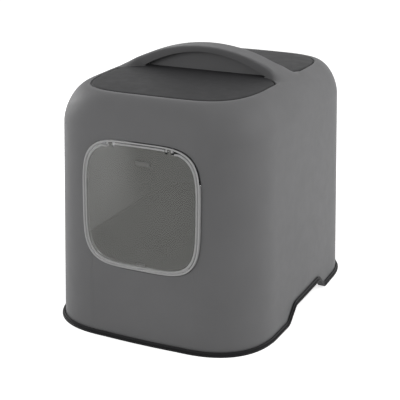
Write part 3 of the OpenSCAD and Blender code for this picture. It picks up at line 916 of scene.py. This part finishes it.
class BOX_OT_door_ring(bpy.types.Operator):
    """Models the door ring with its rounded face, its ears and its pin bores"""

    bl_idname = "litter_box.door_ring"
    bl_label = "Door ring"

    def execute(self, context):
        door = sizes("door")
        wide, back = door.ring, 0.014
        section = [(0, back), (0, -0.0002), (0.0003, -0.0008), (0.0009, -0.0013), (0.0014, -0.0014),
                   (wide - 0.0008, -0.0013), (wide - 0.0002, -0.0009), (wide, -0.0004), (wide, 0.0),
                   (wide - 0.0010, 0.0004), (wide - 0.0010, 0.0030), (wide, 0.0034), (wide, back)]
        piece = drawn("door_ring_frame", [door_ring_points(o, z) for o, z in section], closed=True)
        cut(piece, door_block("top_cut", (-0.2, 0.2), (0.050, 0.130), (0.0026, 0.03)))
        cut(piece, door_block("pocket", (-0.0082, 0.0082), (-0.1057, -0.1033), (0.0008, 0.009)))
        y, z = at_door(0, 0.001, door.hinge_v)[1:]
        for side in (-1, 1):
            xs = around(side * door.hinge_x, 0.0034)
            cut(piece, rod("knuckle_room", KNUCKLE_ROOM, xs, y, z))
        smooth(piece)
        dress(piece, finish("ring_plastic"), "hood", "pale_plastic")
        ears = None
        for side, end in CORNERS:
            xs = around(side * door.hinge_x + end * EAR_APART, EAR_HALF)
            ear = rod("ear", EAR_RADIUS, xs, y, z)
            vs = (door.hinge_v, door.hinge_v + 0.0042)
            join(ear, door_block("root", xs, vs, (-0.0003, 0.0023)))
            ears = join(ears, ear) if ears else ear
        for side in (-1, 1):
            cut(ears, rod("pin_bore", door.pin, around(side * door.hinge_x, 0.008), y, z))
        ears.name = "door_ring_ears"
        smooth(ears)
        dress(ears, finish("ring_plastic"), "hood", "pale_plastic")
        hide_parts("door_ring")
        return {"FINISHED"}


class BOX_OT_flap(bpy.types.Operator):
    """Models the flap: a smoky pane with knuckles, a soft edge strip and a bare badge plate"""

    bl_idname = "litter_box.flap"
    bl_label = "Flap"

    def execute(self, context):
        self.pane()
        self.strip()
        self.badge()
        return {"FINISHED"}

    def pane(self):
        door = sizes("door")
        section = [(0.0023, 0.0), (0.002, 0.0003), (0.002, 0.0017), (0.0023, 0.002)]
        piece = drawn("flap_window", [flap_points(d, z) for d, z in section])
        self.notch(piece, 0)
        y, z = at_door(0, 0.001, door.hinge_v)[1:]
        for side in (-1, 1):
            x = side * door.hinge_x
            xs = around(x, KNUCKLE_HALF)
            join(piece, rod("knuckle", KNUCKLE_RADIUS, xs, y, z))
            vs = (door.hinge_v - 0.007, door.hinge_v)
            join(piece, door_block("arm", xs, vs, (0.0001, 0.0019)))
            cut(piece, rod("pin_bore", door.pin + PIN_GAP, around(x, 0.005), y, z))
        join(piece, magnet_pocket("pocket", (-0.0009, 0.0029)))
        low = pocket_foot()
        hole = (low + 0.001, low + 0.0044)
        cut(piece, door_block("magnet_hole", (-0.0075, 0.0075), hole, (0, 0.004)))
        smooth(piece)
        dress(piece, finish("pane_plastic"), "flap", "smoky_clear", "flap_pane")

    def strip(self):
        half, wide = 0.0013, sizes("door").seal
        section = [(0.0004, 0.001 - half + 0.0003), (0.0009, 0.001 - half), (wide - 0.0009, 0.001 - half),
                   (wide - 0.0003, 0.001 - half + 0.0001), (wide, 0.0), (0.002, 0.0), (0.002, 0.002),
                   (wide, 0.002), (wide - 0.0003, 0.001 + half - 0.0001),
                   (wide - 0.0009, 0.001 + half), (0.0009, 0.001 + half), (0.0004, 0.001 + half - 0.0003),
                   (0.0, 0.001 + half - 0.0009), (0.0, 0.001 - half + 0.0009)]
        piece = drawn("flap_edge_strip", [flap_points(d, z) for d, z in section], closed=True)
        self.notch(piece, 0.0004)
        cut(piece, magnet_pocket("pocket_room", (-0.005, 0.005)))
        smooth(piece)
        dress(piece, finish("seal_strip"), "flap", "soft_edge", "flap_seal")

    def notch(self, piece, grow):
        """Cuts the room for the two hinges, grown by an amount"""
        door = sizes("door")
        low = door.hinge_v - 0.0052 - grow
        for side in (-1, 1):
            x = side * door.hinge_x
            xs = (x - 0.008 - grow, x + 0.008 + grow)
            cut(piece, door_block("notch", xs, (low, low + 0.02), (-0.01, 0.02)))

    def badge(self):
        middle_x, middle_v, half_x, half_v = 0.0054, 0.0735, 0.0125, 0.0036
        rings = []
        for inset, front in ((0, 0.0001), (0, -0.0003), (0.0003, -0.0006), (0.001, -0.0006),
                             (0.0013, -0.0004)):
            quarter = corner_arc(half_x - inset - 0.001, half_v - inset - 0.001, 0.001, 0.001, 2, 6)
            outline = all_round([(half_x - inset, 0)] + quarter, (0, half_v - inset))
            rings.append([at_door(middle_x + x, front, middle_v + v) for x, v in outline])
        piece = drawn("flap_badge", rings)
        smooth(piece)
        dress(piece, finish("badge_plastic"), "flap", "pale_plastic")


# Base tray


def rim_and_flange(name):
    """The rim round the hood's foot, the groove it stands in, its skirt and the arched flange"""
    tray, hood = sizes("tray"), sizes("hood")
    out, mid, wall, high, arch = tray.rim_out, tray.rim_mid, tray.wall, tray.rim, tray.arch
    section = [(0.001, 0, 0), (out - 0.0007, 0, 0), (out - 0.0002, 0.0002, 0), (out, 0.0007, 0),
               (out, 0.0023, 0), (out - 0.0002, 0.0028, 0), (out - 0.0007, 0.0032, 0),
               (mid + 0.0006, 0.0034, 0), (mid + 0.0001, 0.0036, 0), (mid, 0.0040, 0),
               (mid, high - 0.0006, 0), (mid - 0.0002, high - 0.0002, 0), (mid - 0.0006, high, 0),
               (0.001, high - 0.0002, 0), (0.001, wall, 0), (-0.0048, wall, 0), (-0.0050, wall, arch),
               (-0.0320, wall, arch), (-0.0320, 0, arch), (-0.0072, 0, arch), (-0.0070, 0, 0)]
    rings = []
    for offset, rise, longer in section:
        edge = grip_edge(rise)
        outline = foot_plan(-offset, side_steps=70)
        rings.append([(x, y, foot_line(abs(y) - longer, edge) if abs(x) > hood.width / 4 else rise)
                      for x, y in outline])
    return drawn(name, rings, closed=True)


def tray_inset(z):
    """How far the tray's wall stands behind the hood's foot at a height"""
    tray = sizes("tray")
    share_up = (z - tray.floor_z) / (tray.height - tray.floor_z)
    return tray.inset_low + (tray.inset_high - tray.inset_low) * share_up


def tray_cup(name):
    """The tray's walls and floor as one cup on a foot ring, with rounded edges and a thicker lip"""
    tray = sizes("tray")
    low, high, t, foot = tray.floor_z, tray.height, tray.wall, tray.inset_low + 0.0007
    steps = [(foot + 0.0040, low), (foot + 0.0030, low - 0.0006), (foot + 0.0028, 0.0004),
             (foot + 0.0024, 0), (foot + 0.0005, 0), (foot, 0.0004),
             (tray_inset(high - 0.001), high - 0.001), (tray_inset(high) + 0.0008, high),
             (tray_inset(high) + t + 0.0008, high), (tray_inset(high) + t + 0.0016, high - 0.001),
             (tray_inset(high) + t + 0.0016, high - 0.0035), (tray_inset(high) + t, high - 0.005),
             (tray_inset(low + 0.012) + t, low + 0.012), (tray_inset(low) + t + 0.0012, low + t + 0.0022),
             (tray_inset(low) + t + 0.0050, low + t + 0.0004), (tray_inset(low) + t + 0.0100, low + t)]
    return drawn(name, [[(x, y, z) for x, y in foot_plan(d)] for d, z in steps])


def recess_roof(name, side):
    """The raised roof over one hand recess, inside the tray"""
    tray = sizes("tray")
    heights = (tray.floor_z, tray.grip_high + 0.012)
    room = drawn("room", [[(x, y, z) for x, y in foot_plan(tray_inset(z) + 0.0004)] for z in heights])
    return combine(recess_block(name, side, tray.wall, 0.2), room, "INTERSECT")


def recess_block(name, side, d, outer):
    """The space of one hand recess, swollen by d, whose inner end slopes"""
    tray, hood = sizes("tray"), sizes("hood")
    edge = grip_edge(d)
    line = [(0.122, -0.001)] + [(min(y, 0.122), z) for y, z in edge]
    line += [(-y, z) for y, z in reversed(line)]
    inner = hood.width / 2 - tray.grip_deep - d
    slope = 0.014 / (tray.grip_high + 0.001 + d)
    rings = [[(side * (inner + (z + 0.001) * slope), y, z) for y, z in line],
             [(side * outer, y, z) for y, z in line]]
    return drawn(name, rings)


def underside(piece):
    """Ribs and round feet under the tray's floor"""
    tray = sizes("tray")
    x, y, half, top = 0.105, 0.185, 0.0015, tray.floor_z + 0.001
    for end in (-1, 0, 1):
        join(piece, block("rib", (-0.110, end * y - half, 0), (0.110, end * y + half, top)))
    for side in (-1, 1):
        join(piece, block("rib", (side * x - half, -y, 0), (side * x + half, y, top)))
    for place in ((-x, -y), (x, -y), (-x, y), (x, y), (0, 0)):
        deselect()
        bpy.ops.mesh.primitive_cylinder_add(
            vertices=64, radius=0.017, depth=top, location=(place[0], place[1], top / 2))
        join(piece, added("foot"))


class BOX_OT_tray(bpy.types.Operator):
    """Models the base tray: rim, flange, cup, hand recesses, ribs and feet"""

    bl_idname = "litter_box.tray"
    bl_label = "Base tray"

    def execute(self, context):
        piece = tray_cup("tray_body")
        for side in (-1, 1):
            join(piece, recess_roof("roof", side))
        underside(piece)
        for side in (-1, 1):
            cut(piece, recess_block("recess", side, 0, 0.2))
        join(piece, rim_and_flange("rim"))
        smooth(piece)
        dress(piece, finish("tray_plastic"), "base", "dark_plastic", "base_tray")
        return {"FINISHED"}


class BOX_OT_small_parts(bpy.types.Operator):
    """Gives the pins and magnets, which stay as they are, their steel"""

    bl_idname = "litter_box.small_parts"
    bl_label = "Pins and magnets"

    def execute(self, context):
        for name, node in frame["nodes"].items():
            if "pin" in name or "magnet" in name:
                node.data.materials.clear()
                node.data.materials.append(finish("pin_steel"))
        return {"FINISHED"}


# Stage

FLOOR_SIZE = 16.0
FLOOR_GREY = 0.8  # colour of the floor
FLOOR_GLOW = 0.78  # what lifts it to white for the camera, by gloss and through glass
WORLD_LIGHT = 0.36  # strength of the soft light from all sides
AIM = (0.0, 0.0, 0.25)  # the place that the lamps face
LAMPS = (  # name, place in metres, width in metres, power in watts
    ("key", (2.2, 0.6, 1.3), 1.6, 26),
    ("front", (-0.9, -2.4, 1.1), 1.6, 13),
    ("top", (0.2, 0.2, 2.6), 1.8, 5.5),
    ("left_edge", (-2.3, 0.4, 1.0), 1.2, 23),
    ("cabin_fill", (0.0, 0.05, 0.27), 0.12, 1.25),
)
CAMERA_PLACE = (0.75361, -1.61006, 0.78485)
CAMERA_DOWN = 19.09  # degrees that the camera looks down
CAMERA_TURN = 25.52  # degrees that it is turned from straight ahead
CAMERA_LENS = 93.557  # millimetres, on a sensor 36 wide


def white_rays(nodes, links):
    """Whether a ray is one that sees the white studio: from the camera, or by gloss or through glass"""
    path = nodes.new("ShaderNodeLightPath")
    value = path.outputs["Is Camera Ray"]
    for kind in ("Is Glossy Ray", "Is Transmission Ray"):
        both = nodes.new("ShaderNodeMath")
        both.operation = "MAXIMUM"
        links.new(value, both.inputs[0])
        links.new(path.outputs[kind], both.inputs[1])
        value = both.outputs[0]
    return value


class BOX_OT_stage(bpy.types.Operator):
    """Sets up the white floor, the soft studio light and the camera"""

    bl_idname = "litter_box.stage"
    bl_label = "Stage"

    def execute(self, context):
        self.floor()
        self.world()
        for name, place, width, power in LAMPS:
            self.lamp(name, place, width, power)
        self.camera()
        context.scene.view_settings.view_transform = "Standard"
        return {"FINISHED"}

    def floor(self):
        deselect()
        bpy.ops.mesh.primitive_plane_add(size=FLOOR_SIZE, location=(0, 0, -0.0002))
        floor = added("floor")
        sheet = Sheet("floor_white")
        sheet.nodes.remove(sheet.shader)
        plain = sheet.add("BsdfDiffuse", Color=(FLOOR_GREY, FLOOR_GREY, FLOOR_GREY, 1))
        glow = sheet.add("Emission", Strength=FLOOR_GLOW)
        both = sheet.add("AddShader")
        seen = sheet.add("MixShader")
        sheet.link(plain.outputs[0], both.inputs[0])
        sheet.link(glow.outputs[0], both.inputs[1])
        sheet.link(white_rays(sheet.nodes, sheet.links), seen.inputs[0])
        sheet.link(plain.outputs[0], seen.inputs[1])
        sheet.link(both.outputs[0], seen.inputs[2])
        sheet.link(seen.outputs[0], sheet.nodes["Material Output"].inputs["Surface"])
        floor.data.materials.append(sheet.material)

    def world(self):
        world = bpy.data.worlds.new("studio")
        bpy.context.scene.world = world
        world.use_nodes = True
        nodes, links = world.node_tree.nodes, world.node_tree.links
        light = nodes["Background"]
        light.inputs["Color"].default_value = (1, 1, 1, 1)
        light.inputs["Strength"].default_value = WORLD_LIGHT
        white = nodes.new("ShaderNodeBackground")
        white.inputs["Color"].default_value = (1, 1, 1, 1)
        seen = nodes.new("ShaderNodeMixShader")
        links.new(white_rays(nodes, links), seen.inputs[0])
        links.new(light.outputs[0], seen.inputs[1])
        links.new(white.outputs[0], seen.inputs[2])
        links.new(seen.outputs[0], nodes["World Output"].inputs["Surface"])

    def lamp(self, name, place, width, power):
        deselect()
        bpy.ops.object.light_add(type="AREA", location=place)
        lamp = bpy.context.object
        lamp.name = name
        lamp.data.shape = "DISK"
        lamp.data.size = width
        lamp.data.energy = power
        aim = Vector(AIM) - Vector(place)
        lamp.rotation_euler = aim.to_track_quat("-Z", "Y").to_euler()

    def camera(self):
        deselect()
        bpy.ops.object.camera_add(
            location=CAMERA_PLACE,
            rotation=(math.radians(90 - CAMERA_DOWN), 0, math.radians(CAMERA_TURN)))
        camera = bpy.context.object
        camera.name = "studio_camera"
        camera.data.lens = CAMERA_LENS
        camera.data.sensor_width = 36
        bpy.context.scene.camera = camera


class BOX_PT_panel(bpy.types.Panel):
    """Lists the steps that model the litter box"""

    bl_label = "Litter box"
    bl_idname = "BOX_PT_panel"
    bl_space_type = "VIEW_3D"
    bl_region_type = "UI"
    bl_category = "Litter box"

    def draw(self, context):
        for step in STEPS:
            self.layout.operator(step.bl_idname)


STEPS = (BOX_OT_stage, BOX_OT_tray, BOX_OT_hood, BOX_OT_lids, BOX_OT_door_ring, BOX_OT_flap,
         BOX_OT_small_parts)


def register():
    for group in GROUPS.values():
        bpy.utils.register_class(group)
    for name, group in GROUPS.items():
        setattr(bpy.types.Scene, name, bpy.props.PointerProperty(type=group))
    for step in STEPS:
        bpy.utils.register_class(step)
    bpy.utils.register_class(BOX_PT_panel)


def unregister():
    bpy.utils.unregister_class(BOX_PT_panel)
    for step in reversed(STEPS):
        bpy.utils.unregister_class(step)
    for name, group in reversed(GROUPS.items()):
        delattr(bpy.types.Scene, name)
        bpy.utils.unregister_class(group)


def main():
    register()
    for step in STEPS:
        family, name = step.bl_idname.split(".")
        getattr(getattr(bpy.ops, family), name)()


if __name__ == "__main__":
    main()
